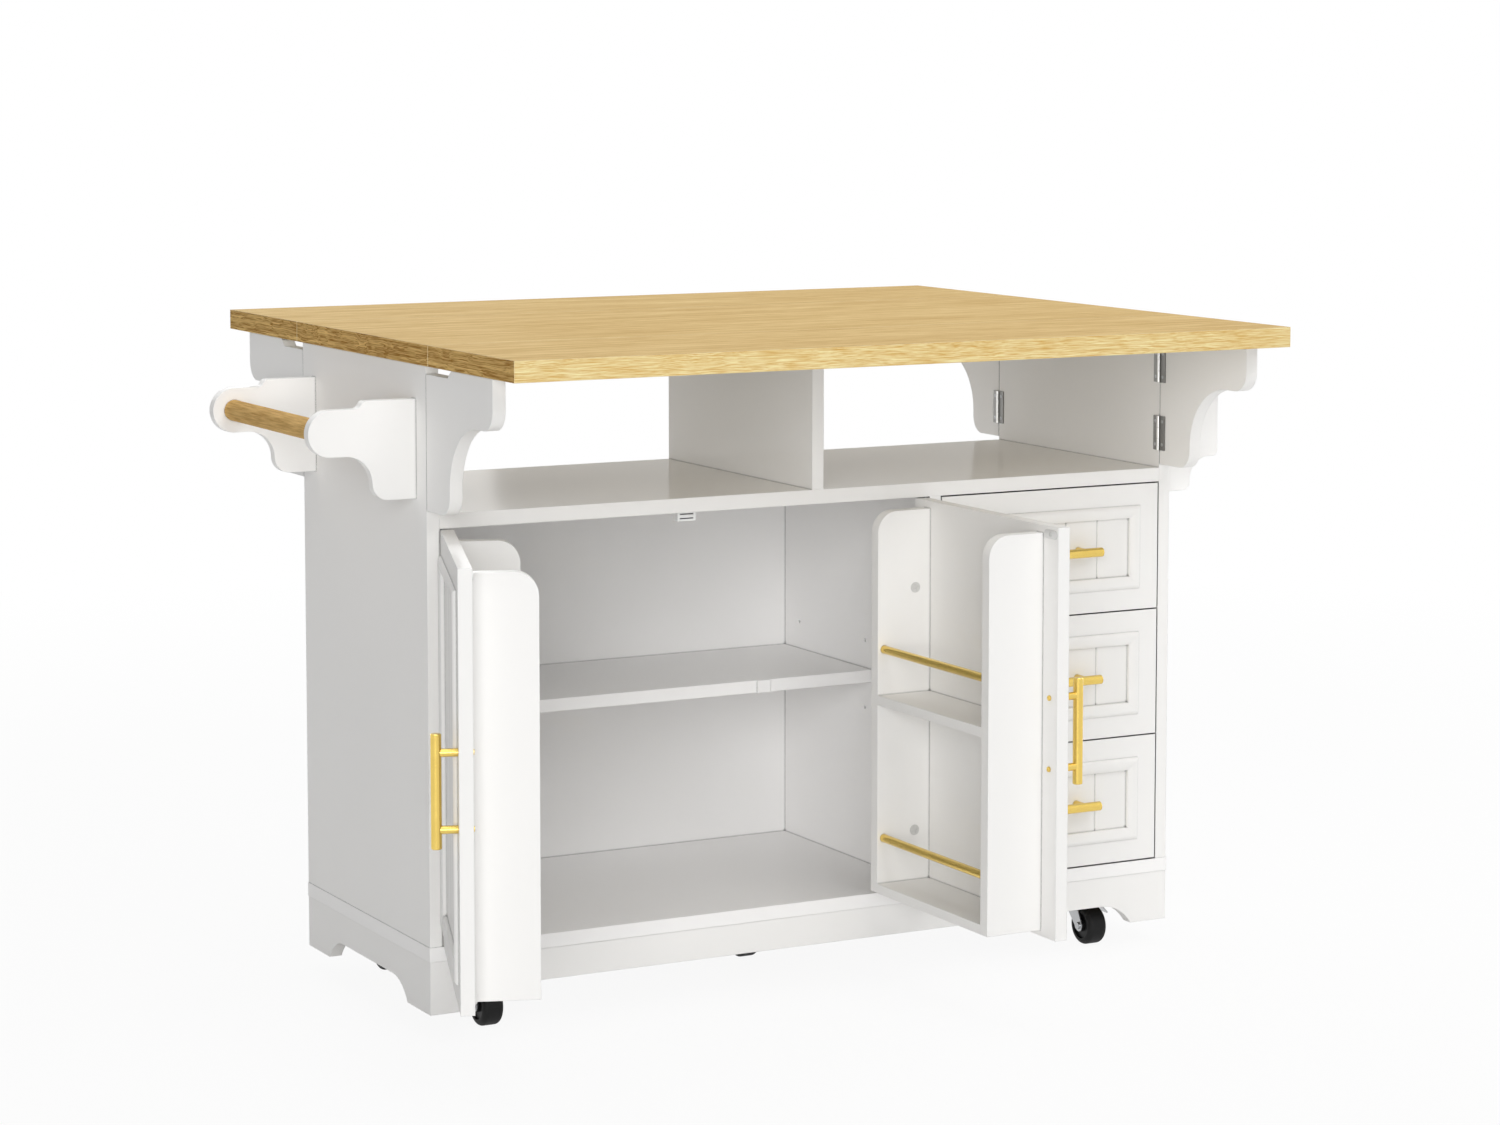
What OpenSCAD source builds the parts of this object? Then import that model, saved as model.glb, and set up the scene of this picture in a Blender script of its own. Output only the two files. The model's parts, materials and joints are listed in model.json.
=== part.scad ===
// Drop leaf kitchen island on casters, doors standing open, brackets swung out under both leaves.
// Millimetres, +Z up, +X to the right, +Y to the back; the front with doors and drawers faces -Y.
// The origin is on the floor, under the middle of the overall box.

/* [Worktop] */
// Height of the worktop above the floor
top_height = 930; // [915:1:945]
// Width of the worktop from side to side
top_width = 1180; // [1176:1:1200]
// Depth of the fixed centre board
centre_depth = 468; // [464:1:472]
// Depth of each drop leaf
leaf_depth = 271; // [262:1:290]
// Thickness of the worktop boards
top_thick = 28; // [25:1:30]
// Gap at each leaf seam
seam_gap = 1.5; // [1.5:0.1:2]

/* [Cabinet] */
// Width of the cabinet over its side panels
body_width = 1174; // [1160:1:1175]
// Depth of the cabinet
body_depth = 440; // [436:1:444]
// Thickness of side panels, partition and divider
board = 18; // [16:0.5:18]
// Thickness of the deck over the doors and drawers
deck_thick = 20; // [18:0.5:22]
// Height of the top face of the deck
deck_height = 706; // [702:1:710]
// Thickness of the back panel
back_thick = 15; // [12:0.5:15]
// Clear width of the drawer bay
drawer_bay = 370.5; // [364:0.5:376]

/* [Base] */
// Height of the cabinet floor
floor_height = 127.5; // [126:0.5:129]
// Thickness of the bottom panel
bottom_thick = 19.5; // [18:0.5:20]
// Height of the feet above the floor
foot_clear = 36; // [34:1:40]
// Height of the cut-outs between the feet
arch_height = 65; // [63:1:67]
// Radius at the ends of the cut-outs
arch_radius = 60; // [55:1:62]
// Thickness of the front board of the base
base_board = 18; // [16:0.5:20]

/* [Doors] */
// Angle that the left door stands open
open_left = 110; // [95:1:110]
// Angle that the right door stands open
open_right = 90; // [80:1:90]
// Gap at the hinge edge of each door
door_gap = 1.5; // [1.5:0.1:2]
// Gap between the two doors
door_middle_gap = 2.5; // [2:0.1:3]
// Thickness of doors and drawer fronts
front_thick = 18; // [17:0.5:19]
// Depth of the racks behind the doors
rack_depth = 84.5; // [70:0.5:90]
// Thickness of the rack shelves
rack_shelf = 13; // [12:0.5:15]

/* [Mouldings] */
// Plain margin around the mouldings
moulding_margin = 31; // [28:0.5:33]
// Width of the mouldings
moulding_width = 18; // [16:0.5:20]
// Height of the mouldings above the front face
moulding_proud = 5.5; // [4:0.5:6]
// Depth of the beaded panel below the front face
panel_recess = 3; // [2:0.5:4]
// Spacing of the bead grooves
bead_pitch = 54; // [50:1:56]

/* [Handles] */
// Length of the handle bars
handle_length = 144; // [134:1:150]
// Diameter of the handle bars
handle_diameter = 13.5; // [12:0.5:14]
// Spacing of the handle posts
post_spacing = 96; // [96:1:100]
// Distance from the mounting face to the middle of the bar
handle_reach = 27; // [25:1:28]

/* [Side racks] */
// Reach of the towel arms from the side panel
towel_reach = 151.5; // [145:0.5:155]
// Diameter of the towel bar
towel_diameter = 29; // [25:0.5:30]
// Depth of the spice rack from the side panel
spice_reach = 108; // [104:0.5:112]
// Thickness of the arms and the spice rack ends
arm_thick = 15; // [13:0.5:16]
// Distance between the outer faces of the arms
arm_span = 374; // [360:1:380]

/* [Casters] */
// Diameter of the caster wheels
wheel_diameter = 56; // [54:1:56]
// Width of the caster wheels
wheel_width = 30; // [26:1:30]
// Distance between the wheel axle and the swivel axis
wheel_trail = 20; // [18:1:22]
// Distance of the outer casters from the middle
caster_x = 485; // [470:1:487]

/* [Hidden] */
hw = body_width / 2;
hd = body_depth / 2;
in_x = hw - board;
under_top = top_height - top_thick;
deck_under = deck_height - deck_thick;
base_top = floor_height - bottom_thick;
back_y = hd - back_thick;
base_back_thick = 12;
bay_x = in_x - drawer_bay;
part_x = bay_x - board;
curve = 32;
running = 0.05;
// hair gap between boards that are joined but separate
joint = 0.05;

// doors: the pivot pin stands this far in from the hinge edge and behind the front face
pin_in = 4;
pin_back = 3;
pin_r = 2;
door_width = (part_x + in_x - 2 * door_gap - door_middle_gap) / 2;
door_z0 = floor_height + 1.5;
door_z1 = deck_under - 1.5;
pin_left = [-in_x + door_gap + pin_in, -hd + pin_back];
pin_right = [part_x - door_gap - pin_in, -hd + pin_back];
door_mid_x = (part_x - in_x) / 2;
door_mid_z = (door_z0 + door_z1) / 2;

// rows of shelf pins in the cupboard
shelf_pin_y = [-38, 160];

// racks behind the doors, measured from the hinge edge of the door
rack_in = 25.5;
rack_out = door_width - 36;
rack_side = 18;
rack_z0 = floor_height + 9.5;
rack_z1 = deck_under - 12;
rack_rail_r = 5.8;
rack_rail_back = 10.5;
rack_mid_z = door_mid_z + 10;
rack_rail_rise = 64;
handle_edge = 18.3;
post_r = 5.2;

// drawers
drawer_gap = 2;
drawer_width = drawer_bay - 2 * drawer_gap;
drawer_mid_x = bay_x + drawer_bay / 2;
drawer_pitch = (deck_under - floor_height - drawer_gap) / 3;
drawer_height = drawer_pitch - drawer_gap;
runner_space = 13;
runner_part = 6.3;
runner_height = 35;
runner_start = 4;
box_width = drawer_bay - 2 * runner_space;
box_length = body_depth - 70;
box_wall = 12;
box_height = 130;
box_rise = 24;
box_floor = 5;
runner_length = box_length - 10;
member_length = runner_length - 10;
member_height = 28;

// brackets, measured from the front edge of the side panel
bracket_gap = 1.5;
bracket_reach = 213.5;
bracket_top = under_top - 0.4;
bracket_foot = deck_height + 5;
bracket_height = bracket_top - bracket_foot;
bracket_end_r = 0.147 * bracket_height;
bracket_cove_r = 0.4617 * bracket_height;
bracket_heel_r = 0.1364 * bracket_height;
bracket_shelf_z = bracket_top - 0.36 * bracket_height;
bracket_cove = [165, bracket_shelf_z - bracket_cove_r];
bracket_waist = bracket_cove[0] - bracket_cove_r;
notch_depth = 10.5;
notch_flat = 72;
notch_end = 84;

// butt hinges of the brackets
bh_r = 2.4;
bh_pin_r = 1.2;
bh_leaf = 1.6;
bh_wide = 14;
bh_tall = 0.2623 * bracket_height;
bh_x = in_x - bh_r;
bh_y = hd + bracket_gap / 2;
bh_z = [bracket_foot + 0.11 * bracket_height, bracket_foot + 0.63 * bracket_height];

// flap hinges of the leaves
lh_r = 3;
lh_pin_r = 1.5;
lh_leaf = 1.8;
lh_wide = 40;
lh_long = 35;
lh_y = centre_depth / 2 + seam_gap / 2;
lh_z = under_top - lh_r;
lh_x = [-(bh_x - 37.6), -180, 180, bh_x - 37.6];

// towel arms and spice rack, heights from the underside of the worktop
arm_top = under_top - 46;
arm_nose_r = 31;
arm_nose_z = arm_top - 10 - arm_nose_r;
arm_foot = arm_top - 132;
arm_y = arm_span / 2 - arm_thick;
spice_height = 190.5;
spice_foot = arm_top - spice_height;
spice_floor = arm_top - 140;

// casters
wheel_r = wheel_diameter / 2;
axle_r = 3;
king_r = 4;
wheel_y = 172;
caster_y = wheel_y - wheel_trail;
bearer_under = 75;
crown_z = wheel_diameter + 3;
CASTERS = [[-caster_x, -caster_y, -1], [caster_x, -caster_y, -1],
    [-caster_x, caster_y, 1], [caster_x, caster_y, 1], [0, wheel_trail, -1]];

// the overall box, and the shift that puts the origin under its middle
free_y = -hd + pin_back - (door_width - pin_in) * sin(open_right) - pin_back * cos(open_right);
back_edge = centre_depth / 2 + seam_gap + leaf_depth;
origin_x = (hw + towel_reach - hw - spice_reach) / 2;
origin_y = -(free_y + back_edge) / 2;

// ---- shared shapes ----

// puts a piece modelled about the middle of the cabinet into the overall frame
module place() translate([origin_x, origin_y, 0]) children();

// a block between two corners
module block(a, b) translate(a) cube(b - a);

// a round bar along Y from y0 to y1
module bar_y(x, z, r, y0, y1, fn = curve) {
    translate([x, y1, z]) rotate([90, 0, 0]) cylinder(r = r, h = y1 - y0, $fn = fn);
}

// a round bar along X from x0 to x1
module bar_x(x0, x1, y, z, r, fn = curve) {
    translate([x0, y, z]) rotate([0, 90, 0]) cylinder(r = r, h = x1 - x0, $fn = fn);
}

// the corner waste outside a rounding of radius r, pointing to sx, sy, in a plane
module corner_waste(p, r, sx, sy) {
    translate(p) difference() {
        translate([sx > 0 ? 0 : -r - 1, sy > 0 ? 0 : -r - 1]) square(r + 1);
        circle(r = r, $fn = 4 * curve);
    }
}

// ---- worktop and leaves ----

module worktop_centre() color("Peru") place()
    block([-top_width / 2, -centre_depth / 2, under_top], [top_width / 2, centre_depth / 2, top_height]);

// a leaf on the side s of the worktop
module leaf(s) place() {
    y0 = centre_depth / 2 + seam_gap;
    mirror([0, s > 0 ? 0 : 1, 0])
        block([-top_width / 2, y0, under_top], [top_width / 2, y0 + leaf_depth, top_height]);
}

module leaf_front() color("Peru") leaf(-1);
module leaf_back() color("Peru") leaf(1);

// knuckles of one flap hinge along X: the plate on the centre board carries the outer two
module leaf_knuckles(x, outer) {
    third = lh_wide / 3;
    for (k = outer ? [-1, 1] : [0]) {
        x0 = x + k * third - third / 2 + (k == 0 ? 0.2 : 0);
        x1 = x + k * third + third / 2 - (k == 0 ? 0.2 : 0);
        difference() {
            union() {
                bar_x(x0, x1, lh_y, lh_z, lh_r, 24);
                block([x0, outer ? lh_y - lh_r : lh_y, under_top - lh_leaf],
                    [x1, outer ? lh_y : lh_y + lh_r, under_top]);
            }
            bar_x(x0 - 1, x1 + 1, lh_y, lh_z, lh_pin_r + running, 24);
        }
    }
}

// one hinge plate under the centre board
module leaf_plate(x) {
    leaf_knuckles(x, true);
    block([x - lh_wide / 2, lh_y - lh_long, under_top - lh_leaf],
        [x + lh_wide / 2, lh_y - lh_r, under_top]);
}

// one hinge flap under a leaf
module leaf_flap(x) {
    leaf_knuckles(x, false);
    block([x - lh_wide / 2, lh_y + lh_r, under_top - lh_leaf],
        [x + lh_wide / 2, lh_y + lh_long, under_top]);
}

module leaf_hinge_plates() color("DimGray") place()
    for (m = [0, 1]) mirror([0, m, 0]) for (x = lh_x) leaf_plate(x);

module leaf_flaps_front() color("DimGray") place() mirror([0, 1, 0]) for (x = lh_x) leaf_flap(x);
module leaf_flaps_back() color("DimGray") place() for (x = lh_x) leaf_flap(x);

// ---- cabinet ----

// rows of shelf pin holes, on the face at x, drilled towards s
module pin_holes(x, s) {
    for (y = shelf_pin_y, k = [-1, 0, 1])
        bar_x(s > 0 ? x - 1 : x - 9, s > 0 ? x + 9 : x + 1, y, door_mid_z - 0.75 + 49.5 * k, 2.6, 16);
}

module side_panel(s) place() mirror([s > 0 ? 0 : 1, 0, 0])
    block([in_x, -hd, floor_height], [hw, hd, under_top]);

module side_panel_left() color("White") difference() {
    side_panel(-1);
    place() pin_holes(-in_x, -1);
}

module side_panel_right() color("White") side_panel(1);

module partition() color("White") place() difference() {
    block([part_x, -hd, floor_height], [bay_x, back_y, deck_under]);
    pin_holes(part_x, 1);
}

module upper_divider() color("White") place()
    block([-board / 2, -hd, deck_height], [board / 2, hd, under_top]);

// bores for the door pivot pins, blind, from z0 to z1
module pivot_bores(z0, z1) {
    for (p = [pin_left, pin_right])
        translate([p[0], p[1], z0]) cylinder(r = pin_r, h = z1 - z0, $fn = 24);
}

module deck_panel() color("White") place() difference() {
    block([-in_x, -hd, deck_under], [in_x, hd, deck_height]);
    pivot_bores(deck_under - 1, deck_under + 10);
}

// the bottom panel runs under the side panels and shows as a thin band around the base
module bottom_panel() color("White") place() difference() {
    block([-hw - 1, -hd - 1, base_top], [hw + 1, hd, floor_height]);
    pivot_bores(floor_height - 10, floor_height + 1);
}

module back_panel() color("White") place()
    block([-in_x, back_y, floor_height], [in_x, hd, deck_under]);

module inner_shelf() color("White") place() {
    z = door_mid_z - 0.75;
    difference() {
        block([-in_x + 0.5, -60, z - 9], [part_x - 0.5, back_y, z + 9]);
        for (y = shelf_pin_y) {
            bar_x(-in_x, -in_x + 9.5, y, z, 2.6, 16);
            bar_x(part_x - 9.5, part_x, y, z, 2.6, 16);
        }
    }
    block([-10, -64, z - 9], [10, -60, z + 9]);
}

module shelf_pins() color("Silver") place()
    for (y = shelf_pin_y, x = [-in_x, part_x]) bar_x(x - 8, x + 8, y, door_mid_z - 0.75, 2.5, 16);

// ---- base ----

// outline of a base board with rounded ends to its cut-out; half is half the board's length
module apron_outline(half) {
    difference() {
        translate([-half, foot_clear]) square([2 * half, base_top - foot_clear]);
        translate([-half_arch(half), 0]) square([2 * half_arch(half), arch_height]);
        for (s = [-1, 1]) translate([s * half_arch(half), arch_height - arch_radius])
            circle(r = arch_radius, $fn = 4 * curve);
    }
}

// half of the straight part of a cut-out, leaving equal feet on long and short boards
function half_arch(half) = half > hd + 50 ? half - 112 : hd - 130;

module base_aprons() color("White") place() {
    translate([0, -hd + base_board, 0]) rotate([90, 0, 0])
        linear_extrude(base_board) apron_outline(hw);
    translate([0, hd, 0]) rotate([90, 0, 0])
        linear_extrude(base_back_thick) apron_outline(hw);
    for (s = [-1, 1]) intersection() {
        translate([s * (hw - base_board / 2) - base_board / 2, 0, 0])
            rotate([90, 0, 90]) linear_extrude(base_board) apron_outline(hd);
        block([-hw, -hd + base_board + joint, 0], [hw, hd - base_back_thick - joint, base_top]);
    }
}

module caster_bearers() color("BurlyWood") place() for (x = [-caster_x, 0, caster_x])
    block([x - 45, -hd + base_board, bearer_under], [x + 45, hd - base_back_thick, base_top]);

// ---- brackets and their hinges ----

// outline of a bracket: X is the distance from the panel edge, Y is the height
module bracket_outline() {
    difference() {
        translate([bracket_gap, bracket_foot])
            square([bracket_reach - bracket_gap, bracket_top - bracket_foot]);
        translate(bracket_cove) circle(r = bracket_cove_r, $fn = 4 * curve);
        translate([bracket_cove[0], 0]) square([bracket_reach, bracket_shelf_z]);
        translate([bracket_waist, 0]) square([bracket_reach, bracket_cove[1]]);
        corner_waste([bracket_reach - bracket_end_r, bracket_shelf_z + bracket_end_r], bracket_end_r, 1, -1);
        corner_waste([bracket_waist - bracket_heel_r, bracket_foot + bracket_heel_r], bracket_heel_r, 1, -1);
        polygon([[0, bracket_top + 1], [0, bracket_top - notch_depth],
            [notch_flat, bracket_top - notch_depth], [notch_end, bracket_top],
            [notch_end, bracket_top + 1]]);
    }
}

// a bracket at the corner sx, sy
module bracket(sx, sy) place() mirror([sx > 0 ? 0 : 1, 0, 0]) mirror([0, sy > 0 ? 0 : 1, 0])
    translate([in_x, hd, 0]) rotate([90, 0, 90]) linear_extrude(board) bracket_outline();

module bracket_front_left() color("White") bracket(-1, -1);
module bracket_front_right() color("White") bracket(1, -1);
module bracket_back_left() color("White") bracket(-1, 1);
module bracket_back_right() color("White") bracket(1, 1);

// knuckles of a butt hinge from z: the panel's plate carries the outer two
module bracket_knuckles(z, outer) {
    third = bh_tall / 3;
    for (k = outer ? [0, 2] : [1]) {
        z0 = z + k * third + (k == 1 ? 0.2 : 0);
        z1 = z + (k + 1) * third - (k == 1 ? 0.2 : 0);
        difference() {
            union() {
                translate([bh_x, bh_y, z0]) cylinder(r = bh_r, h = z1 - z0, $fn = 24);
                block([in_x - bh_leaf, outer ? bh_y - bh_r : bh_y, z0],
                    [in_x, outer ? bh_y : bh_y + bh_r, z1]);
            }
            translate([bh_x, bh_y, z0 - 1])
                cylinder(r = bh_pin_r + running, h = z1 - z0 + 2, $fn = 24);
        }
    }
}

module bracket_hinge_plates() color("DimGray") place()
    for (mx = [0, 1], my = [0, 1]) mirror([mx, 0, 0]) mirror([0, my, 0]) for (z = bh_z) {
        bracket_knuckles(z, true);
        block([in_x - bh_leaf, bh_y - bh_wide, z], [in_x, bh_y - bh_r, z + bh_tall]);
    }

// the two hinge flaps on the bracket at the corner sx, sy
module bracket_flaps(sx, sy) color("DimGray") place()
    mirror([sx > 0 ? 0 : 1, 0, 0]) mirror([0, sy > 0 ? 0 : 1, 0]) for (z = bh_z) {
        bracket_knuckles(z, false);
        block([in_x - bh_leaf, bh_y + bh_r, z], [in_x, bh_y + bh_wide, z + bh_tall]);
    }

module bracket_flaps_front_left() bracket_flaps(-1, -1);
module bracket_flaps_front_right() bracket_flaps(1, -1);
module bracket_flaps_back_left() bracket_flaps(-1, 1);
module bracket_flaps_back_right() bracket_flaps(1, 1);

// every hinge pin: flap hinges, butt hinges, and the doors' top and bottom pivots
module hinge_pins() color("Silver") place() {
    for (s = [-1, 1], x = lh_x)
        bar_x(x - lh_wide / 2, x + lh_wide / 2, s * lh_y, lh_z, lh_pin_r, 24);
    for (sx = [-1, 1], sy = [-1, 1], z = bh_z)
        translate([sx * bh_x, sy * bh_y, z]) cylinder(r = bh_pin_r, h = bh_tall, $fn = 24);
    for (p = [pin_left, pin_right]) {
        translate([p[0], p[1], deck_under - 10]) cylinder(r = pin_r, h = 20, $fn = 24);
        translate([p[0], p[1], floor_height - 10]) cylinder(r = pin_r, h = 22, $fn = 24);
        translate([p[0], p[1], floor_height]) cylinder(r = 2.8, h = 1.2, $fn = 24);
    }
}

// ---- fronts with mouldings, drawn lying in the plane X, Z with the face towards -Y ----

// radius of a circle that falls by h over the width w, level at its crest
function fall_radius(w, h) = (w * w + h * h) / (2 * h);

// cross-section of a moulding: X from its outer edge inwards, Y above the face
module moulding_section() {
    crest = moulding_width / 3;
    outer = fall_radius(crest, moulding_proud - 1.2);
    inner = fall_radius(moulding_width - crest, 3);
    translate([0, -0.5]) square([moulding_width, 1.7]);
    intersection() {
        translate([crest, moulding_proud - outer]) circle(r = outer, $fn = 4 * curve);
        square([crest, moulding_proud]);
    }
    intersection() {
        translate([crest, moulding_proud - inner]) circle(r = inner, $fn = 8 * curve);
        translate([crest, 0]) square([moulding_width - crest, moulding_proud]);
    }
}

// one moulding along X, mitred at both ends, its outer edge at z = 0
module moulding_stick(length) {
    t = moulding_width;
    intersection() {
        rotate([0, -90, 180]) linear_extrude(length) moulding_section();
        translate([0, 1, 0]) rotate([90, 0, 0]) linear_extrude(moulding_proud + 2)
            polygon([[0, 0], [length, 0], [length - t, t], [t, t]]);
    }
}

// a front w wide and h high with its lower left corner at the origin, its outer face at y = 0
module framed_front(w, h) {
    m = moulding_margin;
    n = m + moulding_width;
    difference() {
        cube([w, front_thick, h]);
        block([n, -1, n], [w - n, panel_recess, h - n]);
        for (k = [-1.5:1:1.5]) translate([w / 2 + k * bead_pitch, panel_recess, n])
            rotate([0, 0, 45]) translate([-1.2, -1.2, 0]) cube([2.4, 2.4, h - 2 * n]);
    }
    translate([m, 0, m]) moulding_stick(w - 2 * m);
    translate([w - m, 0, h - m]) rotate([0, 180, 0]) moulding_stick(w - 2 * m);
    translate([m, 0, h - m]) rotate([0, 90, 0]) moulding_stick(h - 2 * m);
    translate([w - m, 0, m]) rotate([0, -90, 0]) moulding_stick(h - 2 * m);
}

// a handle along X centred on the origin, its posts standing on the face y = 0 and its
// screws passing through a front of the given thickness
module handle(thick) {
    r = handle_diameter / 2;
    half = handle_length / 2;
    bar_x(-half + 1, half - 1, -handle_reach, 0, r);
    for (m = [0, 1]) mirror([m, 0, 0]) translate([half - 1, -handle_reach, 0])
        rotate([0, 90, 0]) cylinder(r1 = r, r2 = r - 1, h = 1, $fn = curve);
    for (s = [-1, 1]) {
        bar_y(s * post_spacing / 2, 0, post_r, -handle_reach, 0, 24);
        bar_y(s * post_spacing / 2, 0, 2, 0, thick, 24);
        bar_y(s * post_spacing / 2, 0, 3.6, thick, thick + 1.8, 24);
    }
}

// the two screw holes for a handle
module handle_holes(thick) {
    for (s = [-1, 1]) bar_y(s * post_spacing / 2, 0, 2.1, -1, thick + 1, 24);
}

// ---- doors: modelled closed with the hinge edge at x = 0, then turned about the pivot pin ----

// turns a piece of a door from its closed place to its open place; s = -1 left, 1 right
module hang(s) {
    p = s < 0 ? pin_left : pin_right;
    a = s < 0 ? -open_left : open_right;
    place() translate([p[0], p[1], 0]) rotate([0, 0, a])
        mirror([s < 0 ? 0 : 1, 0, 0]) translate([-pin_in, -pin_back, 0]) children();
}

module door(s) color("White") hang(s) difference() {
    translate([0, 0, door_z0]) framed_front(door_width, door_z1 - door_z0);
    for (z = [door_z0 - 1, door_z1 - 9.5]) translate([pin_in, pin_back, z])
        cylinder(r = pin_r + running, h = z < door_mid_z ? 12 : 11, $fn = 24);
    translate([door_width - handle_edge, 0, door_mid_z]) rotate([0, 90, 0]) handle_holes(front_thick);
}

// outline of a rack side: X is the distance from the door, Y is the height
module rack_outline() {
    difference() {
        translate([0, rack_z0]) square([rack_depth, rack_z1 - rack_z0]);
        corner_waste([rack_depth - 30, rack_z1 - 30], 30, 1, 1);
    }
}

module rack(s) color("White") hang(s) difference() {
    union() {
        for (x = [rack_in, rack_out - rack_side]) translate([x, front_thick, 0])
            rotate([90, 0, 90]) linear_extrude(rack_side) rack_outline();
        for (z = [rack_z0, rack_mid_z - rack_shelf])
            block([rack_in + rack_side + joint, front_thick, z],
                [rack_out - rack_side - joint, front_thick + rack_depth, z + rack_shelf]);
    }
    rack_rails(running);
}

// the rails of a rack, their ends let into the rack sides
module rack_rails(extra = 0) {
    for (z = [rack_z0 + rack_shelf + rack_rail_rise, rack_mid_z + rack_rail_rise])
        bar_x(rack_in + rack_side - 6 - extra, rack_out - rack_side + 6 + extra,
            front_thick + rack_depth - rack_rail_back, z, rack_rail_r + extra, 24);
}

// the strike plate at the top of the free edge, with the head of its screw
module strike_plate() {
    r = 5.5;
    y = front_thick + 1.2;
    translate([door_width - 18, y, door_z1 - 10.5]) rotate([90, 0, 0]) linear_extrude(1.2) {
        square([20, 2 * r], center = true);
        for (s = [-1, 1]) translate([s * 10, 0]) circle(r = r, $fn = 2 * curve);
    }
    bar_y(door_width - 18, door_z1 - 10.5, 3.2, y, y + 0.6, 24);
}

module metalwork(s) color("Goldenrod") hang(s) {
    rack_rails();
    strike_plate();
}

module door_handle(s) color("Goldenrod") hang(s)
    translate([door_width - handle_edge, 0, door_mid_z]) rotate([0, 90, 0]) handle(front_thick);

module door_left() door(-1);
module door_left_rack() rack(-1);
module door_left_metalwork() metalwork(-1);
module door_left_handle() door_handle(-1);
module door_right() door(1);
module door_right_rack() rack(1);
module door_right_metalwork() metalwork(1);
module door_right_handle() door_handle(1);

// the catch, with two slots across its face where the pole plates of its magnet show
module magnetic_catch() color("White") place() difference() {
    y = -hd + front_thick + 1.3;
    block([door_mid_x - 14, y, deck_under - 14.3], [door_mid_x + 14, y + 14, deck_under]);
    for (z = [deck_under - 4.6, deck_under - 10.6])
        block([door_mid_x - 10.5, y - 1, z - 0.9], [door_mid_x + 10.5, y + 1.5, z + 0.9]);
}

// ---- drawers, k = 0 at the bottom ----

function drawer_z(k) = floor_height + drawer_gap + k * drawer_pitch;

module drawer_front(k) color("White") place() difference() {
    translate([bay_x + drawer_gap, -hd, drawer_z(k)]) framed_front(drawer_width, drawer_height);
    translate([drawer_mid_x, -hd, drawer_z(k) + drawer_height / 2]) handle_holes(front_thick);
}

// a drawer box of four walls with its bottom held in a groove
module drawer_box(k) color("BurlyWood") place() {
    x0 = drawer_mid_x - box_width / 2;
    x1 = drawer_mid_x + box_width / 2;
    y0 = -hd + front_thick;
    y1 = y0 + box_length;
    z0 = drawer_z(k) + box_rise;
    z1 = z0 + box_height;
    difference() {
        union() {
            for (x = [x0, x1 - box_wall]) block([x, y0, z0], [x + box_wall, y1, z1]);
            for (y = [y0, y1 - box_wall])
                block([x0 + box_wall + joint, y, z0], [x1 - box_wall - joint, y + box_wall, z1]);
        }
        block([x0 + 6, y0 + 6, z0 + 8], [x1 - 6, y1 - 6, z0 + 8 + box_floor]);
        translate([drawer_mid_x, y0 - front_thick, drawer_z(k) + drawer_height / 2])
            drawer_screw_room();
    }
    block([x0 + 6 + joint, y0 + 6 + joint, z0 + 8 + joint],
        [x1 - 6 - joint, y1 - 6 - joint, z0 + 8 + box_floor - joint]);
}

// clearance in the box wall for the handle screws
module drawer_screw_room() {
    for (s = [-1, 1]) bar_y(s * post_spacing / 2, 0, 4, front_thick - 1, front_thick + box_wall + 1, 24);
}

// middle height of the runners of drawer k
function runner_z(k) = drawer_z(k) + box_rise + 40;

// a bar of a runner, its middle line at x, z
module runner_bar(x, z, length, height) translate([x, -hd + front_thick + runner_start, z])
    block([-runner_part / 2, 0, -height / 2], [runner_part / 2, length, height / 2]);

module runner_members(k) place() for (s = [-1, 1])
    runner_bar(drawer_mid_x + s * (box_width / 2 + runner_part / 2 + joint), runner_z(k),
        member_length, member_height);

module drawer_runners() color("Silver") place() for (k = [0, 1, 2], s = [-1, 1])
    runner_bar(drawer_mid_x + s * (drawer_bay / 2 - runner_part / 2), runner_z(k),
        runner_length, runner_height);

module drawer_handle(k) color("Goldenrod") place()
    translate([drawer_mid_x, -hd + panel_recess, drawer_z(k) + drawer_height / 2])
        handle(front_thick - panel_recess);

module drawer_bottom_front() drawer_front(0);
module drawer_middle_front() drawer_front(1);
module drawer_top_front() drawer_front(2);
module drawer_bottom_box() { drawer_box(0); color("Silver") runner_members(0); }
module drawer_middle_box() { drawer_box(1); color("Silver") runner_members(1); }
module drawer_top_box() { drawer_box(2); color("Silver") runner_members(2); }
module drawer_bottom_handle() drawer_handle(0);
module drawer_middle_handle() drawer_handle(1);
module drawer_top_handle() drawer_handle(2);

// ---- towel rack on the left side, spice rack on the right side ----

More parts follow.
